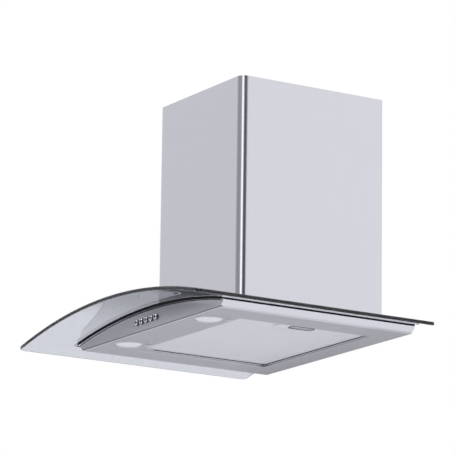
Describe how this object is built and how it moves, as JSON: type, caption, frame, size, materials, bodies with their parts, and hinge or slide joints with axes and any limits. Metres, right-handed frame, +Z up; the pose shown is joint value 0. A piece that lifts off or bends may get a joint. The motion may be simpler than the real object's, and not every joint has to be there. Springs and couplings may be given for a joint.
{
  "type": "wall-mounted range hood with curved glass canopy",
  "caption": "Wall-mounted range hood: arched clear glass canopy over a brushed steel pan with lamps, mesh filter and push buttons, and a square telescoping chimney.",
  "frame": {"origin": "centre of the four wall fixings on the blower box's rear plate", "axes": "+X the hood's right as seen from the room, +Y into the wall, +Z up"},
  "size_m": [0.6, 0.471, 0.4342],
  "materials": {
    "glass": "clear, polished edges",
    "stainless": "fine brushed grain",
    "galvanised": "dull galvanised",
    "zinc_screw": "zinc plated",
    "rubber": "matte black",
    "nylon": "natural nylon",
    "filter_aluminium": "satin",
    "pressed_steel": "satin",
    "chrome": "bright",
    "frosted_glass": "frosted",
    "lamp_aluminium": "spun, satin",
    "bulb": "clear capsule",
    "black_plastic": "moulded",
    "white_plastic": "moulded",
    "board": "laminate",
    "motor_paint": "semi-gloss",
    "bright_steel": "ground",
    "duct_plastic": "moulded",
    "flap_aluminium": "mill"
  },
  "bodies": {
    "hood": {"glass_canopy": "glass", "glass_gasket": "rubber", "cutout_gasket": "rubber", "glass_screws": "zinc_screw", "glass_bushes": "nylon", "glass_nuts": "zinc_screw", "top_plate": "stainless", "canopy_rim": "stainless", "canopy_pan": "stainless", "front_fascia": "stainless", "switch_housing": "black_plastic", "switch_board": "board", "lamp_bezel_left": "chrome", "lamp_bezel_right": "chrome", "lamp_lens_left": "frosted_glass", "lamp_lens_right": "frosted_glass", "lamp_housing_left": "lamp_aluminium", "lamp_housing_right": "lamp_aluminium", "lamp_bulbs": "bulb", "lamp_screws": "zinc_screw", "lamp_transformer": "white_plastic", "blower_box": "galvanised", "base_plate": "galvanised", "box_rivets": "zinc_screw", "scroll_band": "galvanised", "scroll_side_left": "galvanised", "scroll_side_right": "galvanised", "motor_case": "motor_paint", "motor_bearings": "bright_steel", "motor_bracket": "galvanised", "motor_grommets": "rubber", "motor_screws": "zinc_screw", "duct_collar": "duct_plastic", "roof_screws": "zinc_screw", "flap_axle": "bright_steel", "lower_cover": "stainless", "chimney_bracket": "galvanised", "terminal_box": "black_plastic", "terminal_lid": "black_plastic", "terminal_strip": "white_plastic", "cable_gland": "black_plastic", "capacitor": "white_plastic", "capacitor_clip": "galvanised"},
    "rotor": {"impeller": "galvanised", "impeller_nut": "zinc_screw", "motor_shaft": "bright_steel"},
    "filter": {"filter_frame": "filter_aluminium", "filter_face_mesh": "filter_aluminium", "filter_core": "filter_aluminium", "filter_hinge_pins": "pressed_steel", "latch_case": "pressed_steel"},
    "latch": {"latch_slider": "pressed_steel"},
    "flap_front": {"damper_flap_front": "flap_aluminium"},
    "flap_rear": {"damper_flap_rear": "flap_aluminium"},
    "telescope": {"upper_cover": "stainless"},
    "button_stop_key": {"button_stop": "chrome"},
    "button_speed_1_key": {"button_speed_1": "chrome"},
    "button_speed_2_key": {"button_speed_2": "chrome"},
    "button_speed_3_key": {"button_speed_3": "chrome"},
    "button_lamp_key": {"button_lamp": "chrome"}
  },
  "joints": [
    {"name": "impeller_spin", "type": "hinge", "parent": "hood", "child": "rotor", "pos_m": [0, -0.157, -0.0471], "axis": [1, 0, 0], "continuous": true},
    {"name": "filter_swing", "type": "hinge", "parent": "hood", "child": "filter", "pos_m": [-0.164, -0.1755, -0.1607], "axis": [0, 1, 0], "range_deg": [0, 90]},
    {"name": "latch_slide", "type": "slide", "parent": "filter", "child": "latch", "axis": [-1, 0, 0], "range_m": [0, 0.0045], "stiffness_N_per_m": 400, "springref_m": -0.004},
    {"name": "flap_front_swing", "type": "hinge", "parent": "hood", "child": "flap_front", "pos_m": [0, -0.1, 0.1025], "axis": [-1, 0, 0], "range_deg": [0, 70]},
    {"name": "flap_rear_swing", "type": "hinge", "parent": "hood", "child": "flap_rear", "pos_m": [0, -0.1, 0.1025], "axis": [1, 0, 0], "range_deg": [0, 70]},
    {"name": "telescope_slide", "type": "slide", "parent": "hood", "child": "telescope", "axis": [0, 0, 1], "range_m": [0, 0.3]},
    {"name": "button_stop_press", "type": "slide", "parent": "hood", "child": "button_stop_key", "axis": [0, 1, 0], "range_m": [0, 0.0025], "stiffness_N_per_m": 300, "springref_m": -0.002},
    {"name": "button_speed_1_press", "type": "slide", "parent": "hood", "child": "button_speed_1_key", "axis": [0, 1, 0], "range_m": [0, 0.0025], "stiffness_N_per_m": 300, "springref_m": -0.002},
    {"name": "button_speed_2_press", "type": "slide", "parent": "hood", "child": "button_speed_2_key", "axis": [0, 1, 0], "range_m": [0, 0.0025], "stiffness_N_per_m": 300, "springref_m": -0.002},
    {"name": "button_speed_3_press", "type": "slide", "parent": "hood", "child": "button_speed_3_key", "axis": [0, 1, 0], "range_m": [0, 0.0025], "stiffness_N_per_m": 300, "springref_m": -0.002},
    {"name": "button_lamp_press", "type": "slide", "parent": "hood", "child": "button_lamp_key", "axis": [0, 1, 0], "range_m": [0, 0.0025], "stiffness_N_per_m": 300, "springref_m": -0.002}
  ]
}
